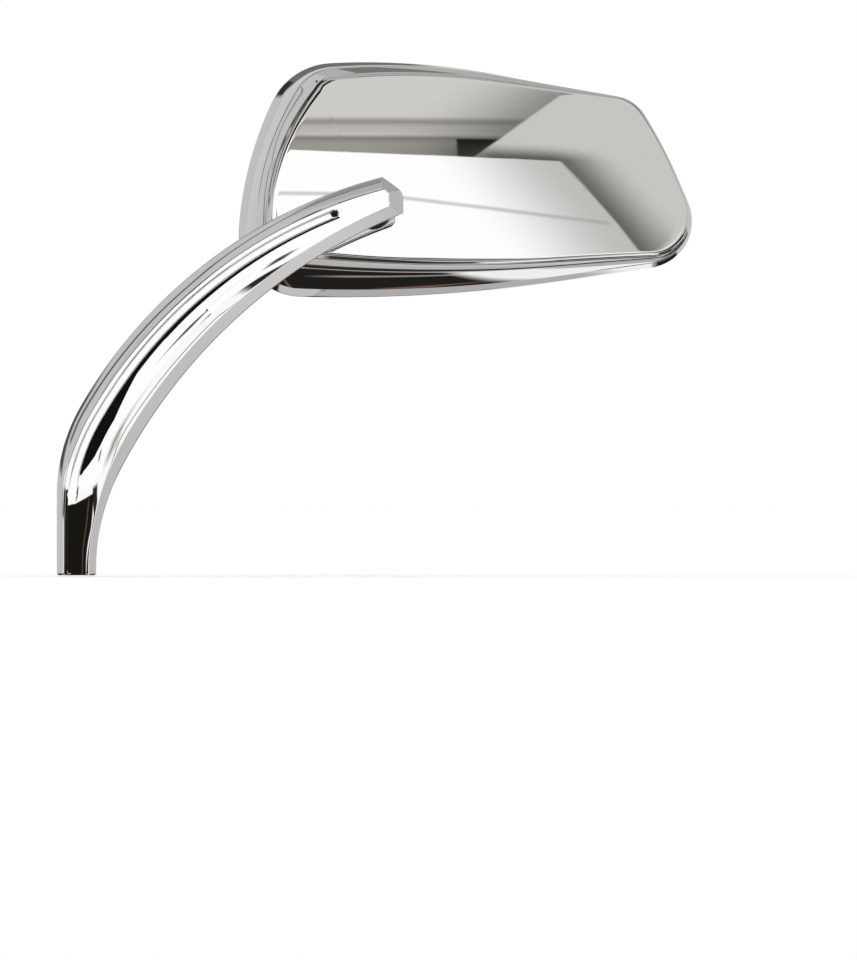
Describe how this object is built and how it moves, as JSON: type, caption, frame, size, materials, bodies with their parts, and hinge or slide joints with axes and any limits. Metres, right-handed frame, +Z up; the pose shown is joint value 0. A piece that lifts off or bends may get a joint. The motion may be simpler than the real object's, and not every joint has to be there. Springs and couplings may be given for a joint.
{
  "type": "motorcycle mirror",
  "caption": "Left-hand motorcycle mirror: a bevelled, curved chrome arm carries a tapered convex mirror in a chromed housing on a clamped ball joint.",
  "frame": {"origin": "centre of the foot's flat underside, on the axis of its threaded hole", "axes": "+Z up along the foot, +X along the head towards its far end, +Y towards the glass and the rider"},
  "size_m": [0.2541, 0.0896, 0.2063],
  "materials": {
    "chrome": "polished chrome plate",
    "steel": "zinc plated",
    "nylon": "natural nylon",
    "black_plastic": "moulded, fine grain",
    "foam": "closed-cell foam tape",
    "mirror": "silvered glass",
    "seal_rubber": "extruded rubber"
  },
  "bodies": {
    "stem": {"stem": "chrome", "ball_stud": "steel"},
    "pressure_seat": {"pressure_seat": "nylon"},
    "neck_seat": {"neck_seat": "nylon"},
    "head": {"back_shell": "chrome", "spring_cup": "steel", "disc_springs": "steel", "retainer_plate": "steel", "retainer_screws": "steel", "glass_carrier": "black_plastic", "foam_pad": "foam", "mirror_glass": "mirror", "glass_seal": "seal_rubber"}
  },
  "joints": [
    {"name": "tilt", "type": "hinge", "parent": "stem", "child": "pressure_seat", "pos_m": [0.11846, 0.04762, 0.14399], "axis": [1, 0, 0], "range_deg": [-10, 10]},
    {"name": "roll", "type": "hinge", "parent": "pressure_seat", "child": "neck_seat", "pos_m": [0.11846, 0.04762, 0.14399], "axis": [0, -0.9848, 0.1736], "range_deg": [-15, 15]},
    {"name": "pan", "type": "hinge", "parent": "neck_seat", "child": "head", "pos_m": [0.11846, 0.04762, 0.14399], "axis": [0, 0.1736, 0.9848], "range_deg": [-8, 8]}
  ]
}
